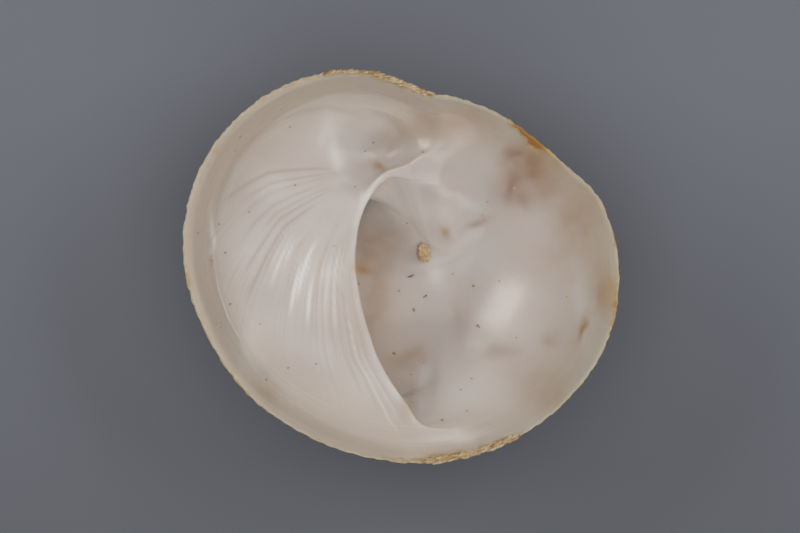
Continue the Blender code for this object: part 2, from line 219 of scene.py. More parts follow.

# Stains in the hollow, with painted light and shade among them, in the photograph's
# pixels: place, half sizes, turn, strength. The brown, purple and ochre are stains, and
# the brown by the free edge, in the old shelf's pit and in the slit is painted shade as
# well. Most pale spots are painted light: painted highlights, and lightening of places
# where shade falls. A few are the hollow's own milky patches.
STAINS_AND_PAINTED_LIGHT = {
    "brown": (
        # By the free edge, in the old shelf's pit and in the slit, this brown is partly painted
        # shade.
        (372, 262, 16, 30, 0, 0.45), (392, 240, 24, 16, 20, 0.25), (444, 231, 5, 9, 10, 0.8),
        (478, 223, 12, 5, 25, 0.6), (409, 358, 22, 10, 15, 0.45), (409, 400, 9, 20, -20, 0.5),
        (581, 329, 4, 13, -25, 0.9), (552, 339, 9, 9, 0, 0.35), (602, 292, 6, 24, 12, 0.5),
        (266, 393, 8, 13, 40, 0.25), (290, 160, 60, 20, -15, 0.15),
        (379, 169, 8, 3.5, -25, 0.6), (394, 136, 20, 14, 45, 0.25), (550, 262, 30, 30, 0, 0.15),
        (545, 152, 44, 16, 36, 0.8), (582, 215, 20, 46, -20, 0.35), (450, 122, 50, 16, 14, 0.4),
        (556, 398, 48, 20, -38, 0.35), (375, 300, 14, 46, -12, 0.35), (540, 175, 30, 26, 0, 0.35),
    ),
    "purple": (
        (516, 152, 12, 6, 40, 0.75), (529, 170, 17, 8, 40, 0.55), (510, 190, 6, 14, -5, 0.6),
        (523, 200, 10, 8, 0, 0.5), (522, 175, 20, 32, -25, 0.35), (548, 192, 14, 8, 45, 0.3),
        (461, 316, 9, 27, 0, 0.25), (575, 225, 8, 22, 25, 0.2), (500, 352, 22, 6, 10, 0.3),
    ),
    "ochre": (
        (363, 268, 7, 5, -15, 0.9), (377, 169, 4, 2.5, 0, 0.4), (218, 151, 2.5, 3.5, 30, 0.5),
        (203.5, 164, 2, 4, 30, 0.5), (211, 260, 2, 3, 0, 0.7), (611, 286, 6, 22, 5, 0.5),
    ),
    "pale": (
        # Mostly painted light: painted highlights, and lightening where shade falls; a few, as by
        # the wrinkles, are the hollow's own milky patches.
        (381, 210, 20, 17, -35, 0.75), (405, 393, 9, 6, -20, 0.5), (450, 194, 24, 4, -16, 0.7),
        (468, 203, 16, 5, -20, 0.5), (437, 275, 10, 13, 0, 0.6), (343, 178, 11, 8, 20, 0.6),
        (366, 246, 4, 2.5, 0, 0.7), (430, 212, 24, 12, 0, 0.4), (505, 312, 26, 38, 12, 0.15),
        (478, 345, 14, 12, 0, 0.4), (462, 392, 56, 30, -10, 0.6), (540, 250, 20, 40, 15, 0.1),
        (383, 212, 22, 20, 0, 0.75), (424, 396, 14, 12, 0, 0.5), (331, 145, 9, 26, 0, 0.5),
        (212, 236, 2.2, 22, 0, 0.8), (335, 270, 16, 14, 0, 0.5), (250, 345, 14, 30, 0, 0.3),
        (300, 275, 22, 40, 20, 0.4), (490, 165, 30, 22, 0, 0.3), (470, 250, 40, 30, 0, 0.3),
        (581, 300, 8, 46, 8, 0.35), (455, 437, 36, 5, 4, 0.4),
    ),
}
STAIN_WANDER = {"far": 0.25, "long": 0.8}
# Ochre skin at the rim, by direction: how strong, and how far it comes in.
RIM_OCHRE = {
    0: 0.6, 7: 0.9, 14: 0.5, 24: 0.25, 36: 0.5, 41: 1.0, 51: 1.0, 56: 0.35, 74: 0.3,
    83: 0.8, 91: 1.0, 99: 0.8, 110: 0.65, 125: 0.5, 136: 0.4, 150: 0.25, 170: 0.3,
    184: 0.65, 198: 0.5, 210: 0.8, 228: 0.75, 245: 0.6, 260: 0.5, 274: 0.75, 282: 1.0,
    296: 0.8, 306: 0.5, 322: 0.5, 340: 0.65, 350: 0.9,
}
RIM_OCHRE_DEPTH = {
    0: 0.14, 7: 0.16, 20: 0.12, 36: 0.2, 42: 0.5, 51: 0.45, 57: 0.18, 80: 0.2,
    86: 0.35, 93: 0.42, 100: 0.3, 115: 0.25, 135: 0.2, 160: 0.14, 184: 0.2, 210: 0.16,
    240: 0.14, 272: 0.25, 282: 0.45, 298: 0.4, 310: 0.18, 340: 0.15, 352: 0.3,
}
RIM_OCHRE_EDGE = {"full": 1.6, "ragged": 0.4, "long": 2.0}
# How far the lip's and the pouch's colours reach, from the free edge and round it. The
# lip's lighter colour is a painted highlight over its own bluish white, and the pouch's
# is its own warm tint, made lighter as painted light in its shade.
LIP_BAND = {"beyond": (-0.4, 0.65, 0.5), "round": (112, 264, 12)}
POUCH_BAND = {"reach": 5, "round": (108, 256, 22)}
# Where the beige and the dullness near the rim end, and over how many millimetres.
RIM_FADES = {"beige": (5.5, 5), "dull": (1.7, 1.5)}

# Low waves and wrinkles of the hollow, chips of the rim and rings of the outside. The
# rim's chips and steps are given in degrees, and the rest in millimetres.
BOWL_WAVES = {"high": 0.035, "long": 2.6, "fine": 1.1, "fine_share": 0.35}
WRINKLES = {"at": (457, 196), "high": 0.02, "across": (1.5, 0.7), "lean": 0.45, "close": 6.5}
CHIPS = {"reach": 0.22, "across": 0.045, "deep": 0.03, "above": 8}
CHIP_LENGTHS = (1.9, 0.8)
STEP_LENGTHS = (3.1, 1.3)
OUTER_RINGS = {"high": 0.05, "apart": (0.8, 0.42)}

# The grain of sand with its dent, and how rough it and the other small lumps are.
GRAIN = {"at": (423, 250.5), "size": (0.42, 0.66, 0.34), "turn": 12, "lift": 0.25}
GRAIN_DENT = {"at": (-0.62, 0.1, 0.2), "reach": 0.42, "deep": 0.16}
LUMP_ROUGHNESS = {"wide": 0.28, "fine": 0.16}
# The specks as pixel places, radii in pixels and kinds, which run from nought, pale,
# over a half, ochre, to one, dark brown.
SPECK_SHARE, SPECK_THICKNESS = 0.8, 0.015
SPECKS = (
    (474, 286, 1.6, 0.5), (426, 296, 1.3, 0.9), (424, 297.5, 0.9, 0.9), (414, 310, 1.6, 0.5),
    (394, 354, 2.0, 0.6), (478, 326, 1.6, 0.55), (479.5, 327.5, 1.0, 0.7), (517, 338, 0.9, 0.7),
    (472, 379, 1.3, 0.4), (461, 390, 1.4, 0.6), (467, 411, 1.2, 0.6), (442, 420, 1.6, 0.8),
    (412, 402, 1.2, 0.7), (411, 375, 0.9, 0.7), (500, 281, 0.8, 0.9), (567, 297, 0.9, 0.7),
    (453, 274, 0.8, 0.8), (407, 223, 1.0, 0.9), (399, 291, 1.2, 0.2), (424, 363, 0.8, 0.6),
    (423, 152, 1.1, 1.0), (515, 188, 1.7, 0.0), (358.5, 284, 1.2, 0.7), (240, 137, 1.2, 0.7),
    (235, 151, 1.0, 0.7), (373, 142.5, 1.2, 0.8), (365, 151, 1.0, 0.8), (295, 185, 1.0, 0.6),
    (249, 212, 1.0, 0.7), (219, 224, 1.0, 0.6), (355, 186.5, 0.9, 0.7), (290, 127, 0.9, 0.6),
    (281, 109, 0.8, 0.6), (198, 233, 1.1, 0.9), (225, 252.5, 1.1, 1.0), (230, 304, 1.1, 0.9),
    (260, 324, 0.9, 0.6), (266, 380, 1.2, 0.7), (334, 246, 1.0, 0.5), (316, 364, 1.2, 0.5),
    (288, 368, 1.0, 0.5), (365, 243, 1.8, 0.1), (483, 215, 1.6, 0.1), (488, 201.5, 1.3, 0.1),
    (211, 256, 0.9, 0.5), (212, 261, 1.1, 0.6), (211, 265, 0.9, 0.5),
)
# Stretches of crust along the rim: from one direction to another, how many flakes lie
# there, and how far in they reach.
CRUST = ((278, 304, 150, 0.4), (81, 97, 80, 0.32), (97, 112, 34, 0.12))
FLAKE_SIZES = ((0.14, 0.06, 0.014), (0.42, 0.13, 0.032))
FLAKE_SPREAD = 0.6
FLAKE_INSET = 0.02
FLAKE_STEEPNESS = (1.5, 4.0)
FLAKE_TURN = 14
FLAKE_PALENESS = 1.6
# Fine dark hairs: the pixel place, the turn, and half the length and width.
HAIRS = (
    (411, 276.3, 22, 0.24, 0.045), (215, 324, -12, 0.16, 0.012), (219.5, 323, 14, 0.2, 0.012),
    (220.5, 327, -70, 0.12, 0.012),
)
HAIR_BEND = 0.2
HAIR_LIFT = 0.6

# Colours as a screen shows them. Dirt, hair and crust run from light to dark.
# Of these, the bowl's and the pouch's colours are made lighter as painted light in the hollow's
# shade, the lip's is partly a painted highlight, the pale one paints highlights and lightens shade,
# the strongest ridges' whiter colour is a painted highlight, and the table's two make it darker
# towards -Y as painted shade.
TONES = {
    "septum": (223, 216, 211), "septum shade": (213, 204, 198), "bowl": (230, 221, 215),
    "pouch": (232, 218, 205), "beige": (205, 189, 171), "ring": (232, 222, 208),
    "lip": (234, 234, 232), "fan line": (196, 182, 171), "dark line": (186, 168, 154),
    "painted ridge highlight": (250, 247, 242), "pale": (242, 239, 235), "brown": (184, 148, 110),
    "purple": (176, 142, 120), "ochre": (210, 154, 66), "skin": (214, 186, 136),
    "skin shade": (190, 148, 86), "skin edge": (174, 122, 56), "outside": (212, 196, 168),
    "outside patch": (182, 152, 112), "outside mottle": (150, 116, 78),
    "outside ring": (134, 100, 66), "sand": (230, 208, 168), "sand shade": (206, 174, 124),
    "dirt light": (230, 225, 216), "dirt middle": (208, 178, 124), "dirt dark": (158, 136, 114),
    "hair light": (126, 108, 97), "hair middle": (118, 101, 90), "hair dark": (104, 89, 78),
    "crust light": (228, 210, 178), "crust middle": (214, 182, 136), "crust dark": (168, 126, 80),
    "table near": (113, 116, 123), "table far": (132, 135, 144),
}

# The lights: name, azimuth, elevation, distance, size, brightness and colour.
LIGHTS = (
    ("left_box", 157, 34, 0.5, (0.33, 0.16), 3.2, (1.0, 0.98, 0.965)),
    ("right_box", 21, 42, 0.5, (0.33, 0.13), 3.3, (1.0, 0.99, 0.985)),
    ("near_fill", 270, 35, 0.5, (0.5, 0.3), 1.0, (1.0, 0.99, 0.99)),
    ("ceiling", 0, 90, 1.6, (1.7, 1.7), 0.95, (1.0, 0.99, 0.98)),
)
ROOM = {"Color": (0.93, 0.96, 1.0, 1), "Strength": 0.14}
# Where along Y, in metres, the table's colour runs from its darker to its lighter tone: painted
# shade, darker towards -Y.
TABLE_SHADE = (-0.02, 0.014)
CAMERA_DISTANCE = 1.2

# Smooth noise is read from this many random values, this far apart along x and y.
NOISE_VALUES = 4096
NOISE_STRIDES = (57, 1031)

# On a colour's Mix node, the inputs for the share and the two colours, and the result.
MIX_INPUTS = (0, 6, 7)
MIX_RESULT = 2


def around(points, degrees):
    """A smooth closed curve through {angle: value}, read at the given angles."""
    angles = np.array(sorted(points), float)
    values = np.array([points[a] for a in sorted(points)], float)
    angles = np.concatenate([angles[-2:] - 360, angles, angles[:2] + 360])
    values = np.concatenate([values[-2:], values, values[:2]])
    slopes = (values[2:] - values[:-2]) / (angles[2:] - angles[:-2])
    slopes = np.concatenate([slopes[:1], slopes, slopes[-1:]])
    degrees = np.mod(degrees, 360)
    i = np.clip(np.searchsorted(angles, degrees) - 1, 1, len(angles) - 3)
    span = angles[i + 1] - angles[i]
    t = (degrees - angles[i]) / span
    return (
        values[i] * (2 * t**3 - 3 * t**2 + 1)
        + slopes[i] * span * (t**3 - 2 * t**2 + t)
        + values[i + 1] * (3 * t**2 - 2 * t**3)
        + slopes[i + 1] * span * (t**3 - t**2)
    )


def smooth_max(a, b, width):
    return 0.5 * (a + b + np.sqrt((a - b) ** 2 + width**2))


def smooth_min(a, b, width):
    return -smooth_max(-a, -b, width)


def ease(t):
    t = np.clip(t, 0, 1)
    return t * t * (3 - 2 * t)


def within(value, low, high, soft):
    """One between low and high, and nought beyond, with soft ends."""
    return ease((value - low) / soft) * ease((high - value) / soft)


def hump(x, y, form):
    """A round swelling or pit, one at its middle and nought away from it."""
    dx = (x - form["at"][0]) / form["across"][0]
    dy = (y - form["at"][1]) / form["across"][1]
    return form["depth"] * np.exp(-dx * dx - dy * dy)


def bearing(x, y):
    return np.degrees(np.arctan2(y, x))


def seen(across, down):
    """The place in millimetres under a pixel of the photograph."""
    return (across - ORIGIN_PIXEL[0]) * PIXEL, (ORIGIN_PIXEL[1] - down) * PIXEL


def unevenness(x, y, seed):
    """Smooth noise from minus one to one, with a wave about two units long."""
    table = np.random.default_rng(seed).uniform(-1, 1, NOISE_VALUES)
    i, j = np.floor(x).astype(int), np.floor(y).astype(int)
    s, t = ease(x - i), ease(y - j)

    def corner(a, b):
        return table[((i + a) * NOISE_STRIDES[0] + (j + b) * NOISE_STRIDES[1]) % NOISE_VALUES]

    low = corner(0, 0) * (1 - s) + corner(1, 0) * s
    high = corner(0, 1) * (1 - s) + corner(1, 1) * s
    return low * (1 - t) + high * t


def rim_height(angle):
    return RIM_HEIGHT + RIM_LIFT_AT_SPIRE * np.sin(np.radians(angle))


def add_spire(x, y, bowl, wall, blends):
    """Merge the spire's smaller bowl into the large one."""
    dx, dy = x - APEX[0], y - APEX[1]
    turn = bearing(dx, dy)
    reach = around(SPIRE_REACH, turn) - 0.5 * wall
    spire = APEX_HEIGHT + RIM_HEIGHT * (np.hypot(dx, dy) / reach) ** SPIRE_POWER
    return smooth_min(bowl, spire + wall, around(blends, turn))


def suture_groove(x, y):
    """The spiral groove between the whorls, winding in from the notch in the rim."""
    dx, dy = x - APEX[0], y - APEX[1]
    reach = np.maximum(np.hypot(dx, dy), 0.05)
    turn = np.mod(bearing(dx, dy) - NOTCH_DIRECTION, 360) / 360
    growth = np.log(WHORL_GROWTH)
    whorl = np.log(reach / NOTCH_REACH) / growth - (turn - 1)
    nearest = np.minimum(np.round(whorl), 0)
    away = reach * growth * np.abs(whorl - nearest)
    size = np.minimum(1, reach / 3)
    return size * SUTURE_DEPTH * np.exp(-((away / (SUTURE_WIDTH * size)) ** 2))


def outside_point(way, share):
    """On the outside of the shell, a bowl with the spire's whorls beside it."""
    angle = bearing(way.rim_x, way.rim_y)
    aside = 1 - ease(share / BOTTOM_REACH)
    x = way.rim_x * share + BOTTOM[0] * aside
    y = way.rim_y * share + BOTTOM[1] * aside
    bowl = (rim_height(angle) + FLAT_DEPTH) * share ** around(BOWL_POWER, angle)
    bowl = np.maximum(bowl - FLAT_DEPTH, 0)
    both = add_spire(x, y, bowl, 0, SPIRE_BLEND)
    groove = suture_groove(x, y) * ease((bowl - 0.2) / 0.5) * ease(3 * (1 - share))
    return x, y, np.where(bowl > 0, np.maximum(both + groove, 0), 0)


def wall_height(x, y):
    """The inside of the bowl, as if it had no shelf."""
    angle = bearing(x, y)
    share = np.hypot(x, y) / (around(RIM, angle) - around(RIM_WALL, angle))
    power = around(BOWL_POWER, angle)
    bowl = FLOOR_WALL + (rim_height(angle) - RIM_BEVEL - FLOOR_WALL) * share**power
    both = add_spire(x, y, bowl, SPIRE_WALL, SPIRE_BLEND_INSIDE)
    swell = sum(hump(x, y, form) for form in WALL_SWELLS)
    return both + swell * np.clip(1 - share**6, 0, 1)


def frontness(y):
    """Nought over most of the shelf, one at its end away from the spire."""
    return ease((y - SHELF_FRONT["from"]) / (SHELF_FRONT["to"] - SHELF_FRONT["from"]))


def shelf_height(x, y):
    """The top of the septum: the shelf, the old shelf's pit, and the crest with its slit."""
    left = np.clip((x - SHELF_LEFT["from"]) / (SHELF_LEFT["to"] - SHELF_LEFT["from"]), 0, 2)
    low = SHELF_HEIGHT - SHELF_FALL_LEFT * left**2 + SHELF_RISE_FRONT * frontness(y)
    low = low - hump(x, y, SHELF_DISH)

    dx, dy = x - FLOOR_CENTRE[0], y - FLOOR_CENTRE[1]
    turn = bearing(dx, dy)
    beyond = np.hypot(dx, dy) - free_edge_distance(turn) - around(CREST, turn)
    low = low - hump(x, y, OLD_SHELF_PIT) * (1 - np.exp(-np.maximum(beyond, 0) / PIT_WALL))
    fall = around(CREST_FALL, turn) * smooth_max(-beyond, 0, CREST_ROUND)
    sink = ease(beyond / SLIT_WIDTH) * np.exp(-((beyond / SLIT_REACH) ** 2))
    return low - fall - np.clip(around(SLIT_DEPTH, turn), 0, 9) * sink


def visible_height(x, y, share):
    """What is seen from above: the shelf where there is one, and the wall elsewhere."""
    angle = bearing(x, y)
    wall = wall_height(x, y)
    blend = SHELF_BLEND + SHELF_BLEND_FRONT * frontness(y)
    top = smooth_max(wall, shelf_height(x, y), blend)
    out = np.hypot(x, y) / (around(RIM, angle) - around(RIM_WALL, angle))
    return wall + share * (top - wall) * np.clip(1 - out**10, 0, 1)


def rim_distance(degrees):
    """From the floor's centre to the rim, along each direction."""
    turns, back = np.unique(np.round(degrees, 4), return_inverse=True)
    low, high = np.zeros_like(turns), np.full_like(turns, 40.0)
    for _ in range(40):
        middle = (low + high) / 2
        x, y = from_floor_centre(turns, middle)
        inside = np.hypot(x, y) < around(RIM, bearing(x, y))
        low, high = np.where(inside, middle, low), np.where(inside, high, middle)
    return low[back]


def from_floor_centre(degrees, distance):
    turn = np.radians(degrees)
    return (
        FLOOR_CENTRE[0] + distance * np.cos(turn),
        FLOOR_CENTRE[1] + distance * np.sin(turn),
    )


def free_edge_distance(degrees):
    points = {}
    for x, y in FREE_EDGE:
        dx, dy = x - FLOOR_CENTRE[0], y - FLOOR_CENTRE[1]
        points[float(bearing(dx, dy)) % 360] = float(np.hypot(dx, dy))
    return around(points, degrees)


class Way:
    """A direction out from the floor's centre, with the stops along it."""

    def __init__(self, degrees):
        self.degrees = degrees
        self.rim = rim_distance(degrees)
        self.rim_x, self.rim_y = from_floor_centre(degrees, self.rim)
        self.inner = self.rim - around(RIM_WALL, bearing(self.rim_x, self.rim_y))
        self.edge = free_edge_distance(degrees)
        self.end = self.edge + around(POUCH_DEPTH, degrees)
        self.over = around(OVERHANG, degrees)
        self.share = np.clip(around(SHELF_SHARE, degrees), 0, 1)
        self.lip = 0.5 * SHELF_EDGE_WALL
        self.crest = self.edge + around(CREST, degrees)
        self.slit = self.crest + SLIT_WIDTH
        self.margin = self.inner - MARGIN_SHARE * (self.inner - self.slit)

    def top(self, distance):
        x, y = from_floor_centre(self.degrees, distance)
        return x, y, visible_height(x, y, self.share)

    def underside(self, distance):
        x, y, top = self.top(distance)
        rooted = ease((distance - self.edge) / SHELF_ROOT_REACH)
        wall = SHELF_EDGE_WALL + (SHELF_ROOT_WALL - SHELF_EDGE_WALL) * rooted
        wall = wall * self.share * np.clip(1 + self.over, 0, 1)
        return x, y, np.maximum(top - wall, wall_height(x, y))


def floor(way, t):
    """Out to where the pouch ends or the open slope begins."""
    x, y = from_floor_centre(way.degrees, t * way.end)
    return x, y, wall_height(x, y)


def pouch(way, t):
    """The pouch's back and its roof out to the free edge, or the open slope."""
    closed = np.clip(way.over, 0, 1)
    bulge = np.sin(np.pi * np.clip(t / POUCH_BACK_SHARE, 0, 1)) * POUCH_BACK_BULGE
    run = t + (ease(t) - t) * closed
    start = way.edge + way.lip * way.over
    distance = way.end + (start - way.end) * run + closed * bulge
    x, y, roof = way.underside(distance)
    rise = ease(t / (POUCH_BACK_SHARE + (1 - POUCH_BACK_SHARE) * (1 - closed)))
    rise = rise + around(SLOPE_TOP, way.degrees) * (1 - closed) * (t * t - rise)
    wall = wall_height(x, y)
    return x, y, wall + (roof - wall) * rise


def lip(way, t):
    """Round the free edge, from under it to over it."""
    out = 1 - np.sin(np.pi * t)
    distance = way.edge + way.lip * np.where(t < 0.5, way.over * out, out)
    x, y, low = way.underside(distance)
    _, _, top = way.top(distance)
    return x, y, low + (top - low) * (1 - np.cos(np.pi * t)) / 2


def crest(way, t):
    start = way.edge + way.lip
    return way.top(start + t * (way.crest - start))


def slit(way, t):
    return way.top(way.crest + t * (way.slit - way.crest))


def shelf(way, t):
    return way.top(way.slit + t * (way.margin - way.slit))


def margin(way, t):
    return way.top(way.margin + t * (way.inner - way.margin))


def rim(way, t):
    """Up the bevel and over the rim's edge."""
    out = np.sin(np.pi * t / 2)
    x, y = from_floor_centre(way.degrees, way.inner + (way.rim - way.inner) * out)
    bevel = RIM_BEVEL * (1 - out) ** 1.5
    return x, y, rim_height(bearing(x, y)) - bevel - EDGE_ROUND * t**4


def outside(way, t):
    """From the rim in, under the shell, to the flat spot."""
    x, y, z = outside_point(way, 1 - (1 - FLAT_RINGS_SHARE) * t)
    return x, y, z - EDGE_ROUND * (1 - t) ** 12


def flat(way, t):
    return outside_point(way, FLAT_RINGS_SHARE * (1 - t))


# The mesh's rings in order, in under the shelf, out over it, and back underneath.
RINGS = {
    floor: 32,
    pouch: 22,
    lip: 7,
    crest: 10,
    slit: 8,
    shelf: 50,
    margin: 18,
    rim: 8,
    outside: 50,
    flat: 2,
}
# Over how many rings the relief and the marks on top, and the hollow's waves, fade out.
TOP_FADE = 4
HOLLOW_FADE = 8


def first_ring(part):
    """The number of the ring that a stretch of the mesh starts on."""
    before = list(RINGS).index(part)
    return sum(list(RINGS.values())[:before])


def place(ring, degrees):
    """Where the vertices of these rings and directions go, in millimetres."""
    out = np.zeros((len(ring), 3))
    start = 0
    for part, count in RINGS.items():
        here = (ring >= start) & (ring <= start + count)
        way = Way(degrees[here])
        out[here] = np.stack(part(way, (ring[here] - start) / count), axis=1)
        start += count
    return out


def fan(x, y):
    """A place's fan angle, in degrees, and its distance from the fan's centre."""
    dx, dy = x - FAN_CENTRE[0], y - FAN_CENTRE[1]
    reach = np.hypot(dx, dy)
    edge = np.array(FREE_EDGE[FAN_EDGE_POINTS]) - np.array(FAN_CENTRE)
    edge_reach = np.hypot(edge[:, 0], edge[:, 1])
    edge_turn = np.mod(bearing(edge[:, 0], edge[:, 1]), 360)
    behind = np.interp(reach, edge_reach, edge_turn) - np.mod(bearing(dx, dy), 360)
    return behind / np.interp(reach, *FAN_SQUEEZE.values()), reach


def fan_shown(angle, reach, shown):
    """One where the septum's ridges or lines show, and nought beyond."""
    return within(angle, *shown["angle"]) * within(reach, *shown["reach"])


def fan_relief(x, y):
    """The growth ridges of the septum."""
    angle, reach = fan(x, y)
    height = 0
    for width, size, seed in RIDGE_SIZES:
        height = height + size * unevenness(angle / width + 50, reach / RIDGE_LENGTH, seed)
    long = RIDGE_PATCHES["long"]
    patches = RIDGE_PATCHES["least"] + RIDGE_PATCHES["swing"] * unevenness(x / long, y / long, 14)
    height = height * fan_shown(angle, reach, RIDGES_SHOWN) * patches
    return height + BOLD_HEIGHT * fan_lines(x, y, BOLD_RIDGES_AND_HIGHLIGHTS)


def fan_lines(x, y, lines):
    """Growth lines of given strengths, from nought to one, that wander a little."""
    angle, reach = fan(x, y)
    wander = unevenness(reach / LINE_WANDER["long"], angle / LINE_WANDER["apart"], 15)
    angle = angle + LINE_WANDER["degrees"] * wander
    bold = np.zeros(len(x))
    for at, width, strength, start, end in lines:
        line = np.exp(-(((angle - at) / width) ** 2))
        bold = np.maximum(bold, strength * line * within(reach, start, end, LINE_ENDS))
    return bold


def beside(x, y, line):
    """How far places lie to the right of a line, and how many of its points back."""
    points = np.array([seen(*pixel) for pixel in line])
    nearest = np.full(len(x), np.inf)
    side, along = np.zeros(len(x)), np.zeros(len(x))
    for n, (start, end) in enumerate(zip(points[:-1], points[1:])):
        run = end - start
        dx, dy = x - start[0], y - start[1]
        t = np.clip((dx * run[0] + dy * run[1]) / (run @ run), 0, 1)
        away = np.hypot(dx - t * run[0], dy - t * run[1])
        closer = away < nearest
        nearest = np.where(closer, away, nearest)
        side = np.where(closer, np.sign(dy * run[0] - dx * run[1]), side)
        along = np.where(closer, n + t, along)
    return -side * nearest, along


def crease_relief(x, y):
    """The step down from the wall to the septum, deep round the old shelf's pit."""
    inside, along = beside(x, y, CREASE)
    step = CREASE_STEP["deep"] * ease(0.5 + inside / CREASE_STEP["wide"])
    fade = np.exp(-((inside / CREASE_STEP["reach"]) ** 2))
    fade = fade * within(along, CREASE_STEP["start"], CREASE_STEP["end"], CREASE_STEP["soft"])
    pit = PIT_STEP["deep"] * ease(0.5 + inside / PIT_STEP["wide"])
    pit = pit * np.exp(-np.clip(inside, 0, None) / PIT_STEP["reach"])
    return -step * fade - pit * ease((along - PIT_STEP["start"]) / PIT_STEP["soft"])


def bowl_relief(x, y):
    """The low waves of the hollow's floor and walls."""
    long, fine = BOWL_WAVES["long"], BOWL_WAVES["fine"]
    waves = unevenness(x / long + 3, y / long, 16)
    waves = waves + BOWL_WAVES["fine_share"] * unevenness(x / fine, y / fine, 17)
    at_x, at_y = seen(*WRINKLES["at"])
    dx, dy = x - at_x, y - at_y
    fold = np.sin((dy - WRINKLES["lean"] * dx) * WRINKLES["close"] + unevenness(x, y, 18))
    wide, high = WRINKLES["across"]
    near = np.exp(-((dx / wide) ** 2) - (dy / high) ** 2)
    return BOWL_WAVES["high"] * waves + WRINKLES["high"] * fold * near


def chipped(x, y, z):
    """The rim's edge with its small chips and steps."""
    angle = bearing(x, y)
    from_rim = around(RIM, angle) - np.hypot(x, y)
    close = np.exp(-((from_rim / CHIPS["reach"]) ** 2)) * (z > CHIPS["above"])
    long, short = CHIP_LENGTHS
    chips = 0.8 * unevenness(angle / long, 0 * x, 41) + unevenness(angle / short, 0 * x + 9, 42)
    shrink = 1 - CHIPS["across"] * close * (1 + chips) / np.hypot(x, y)
    long, short = STEP_LENGTHS
    steps = unevenness(angle / long, 0 * x + 5, 43) + 0.5 * unevenness(angle / short, 0 * x, 44)
    return x * shrink, y * shrink, z + CHIPS["deep"] * close * (steps - 1)


def growth_rings(x, y, z):
    """How far the outside stands out, in rings that follow the rim."""
    angle = bearing(x, y)
    back = around(RIM, angle) - np.hypot(x, y) + 0.3 * unevenness(angle / 14, 0 * x, 45)
    wide, close = OUTER_RINGS["apart"]
    rings = unevenness(back / wide, angle / 40, 46) + 0.5 * unevenness(back / close, angle / 25, 47)
    return OUTER_RINGS["high"] * rings * ease(z - 0.3) * ease(back / 0.4)


def spot(x, y, across, down, half_width, half_height, turn):
    """A soft oval in the photograph, one at its middle."""
    at_x, at_y = seen(across, down)
    lean = np.radians(turn)
    dx, dy = (x - at_x) / PIXEL, (y - at_y) / PIXEL
    along = (dx * np.cos(lean) + dy * np.sin(lean)) / half_width
    over = (dy * np.cos(lean) - dx * np.sin(lean)) / half_height
    return np.exp(-(along**2 + over**2))


def stain(x, y, name):
    """How much one kind of mark covers the hollow, from nought to one, with wandering outlines. The
    marks are stains, painted shade and painted light.
    """
    far, long = STAIN_WANDER["far"], STAIN_WANDER["long"]
    x = x + far * unevenness(x / long, y / long, 21)
    y = y + far * unevenness(x / long, y / long, 22)
    clear = 1.0
    for across, down, wide, high, turn, strength in STAINS_AND_PAINTED_LIGHT[name]:
        clear = clear * (1 - strength * spot(x, y, across, down, wide, high, turn))
    return 1 - clear


def make_piece(name, form, body="root"):
    """A finished mesh as an object that rides on the shell's body."""
    mesh = bpy.data.meshes.new(name)
    form.to_mesh(mesh)
    form.free()
    mesh.shade_smooth()
    piece = bpy.data.objects.new(name, mesh)
    bpy.context.scene.collection.objects.link(piece)
    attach(piece, body)
    return piece


def give_values(piece, name, values):
    """Values that change over the surface, for the materials to read."""
    made = piece.data.attributes.new(name, "FLOAT", "POINT")
    made.data.foreach_set("value", np.asarray(values, np.float32))


def soften(form, points, allowed, places):
    """Smooth the heights round some places, all the way at their middles."""
    form.verts.ensure_lookup_table()
    for across, down, reach in places:
        near = spot(points[:, 0], points[:, 1], across, down, reach, reach, 0)
        chosen = [form.verts[n] for n in np.flatnonzero(allowed & (near > 0.01))]
        for vertex, point in zip(form.verts, points):
            vertex.co = point
        for _ in range(SOFTENING["rounds"]):
            bmesh.ops.smooth_vert(form, verts=chosen, factor=SOFTENING["factor"], use_axis_z=True)
        smooth = np.array([v.co.z for v in form.verts])
        points[:, 2] += near * (smooth - points[:, 2])


def on_top(ring):
    """One on what is seen from above, from the crest to the rim, with soft ends."""
    return within(ring, first_ring(crest), first_ring(rim), TOP_FADE)


def soften_slopes(form, points, ring, inward):
    """Run the slopes of the pouch, the pit and the crest softly together."""
    below = (ring < first_ring(lip)) & (inward > SOFTENING["off_the_edge"])
    soften(form, points, below, SOFT_WALLS)
    below_rim = ring < first_ring(rim)
    soften(form, points, (ring > first_ring(slit)) & below_rim, SOFT_PIT)
    soften(form, points, (ring > first_ring(crest)) & below_rim, SOFT_CREST)


def add_relief(points, ring, way):
    """Add the ridges, the crease's step, the hollow's waves and the outside's rings."""
    x, y = points[:, 0], points[:, 1]
    past_crest = ease((ring - first_ring(crest)) / (RINGS[crest] + RINGS[slit]))
    relief = fan_relief(x, y) * way.share
    points[:, 2] += (relief + crease_relief(x, y) * past_crest) * on_top(ring)
    inside = ring <= first_ring(lip)
    fade = ease((first_ring(lip) - ring) / HOLLOW_FADE)
    points[:, 2] += bowl_relief(x, y) * inside * fade
    points[:, 2] -= growth_rings(x, y, points[:, 2]) * (ring > first_ring(outside))


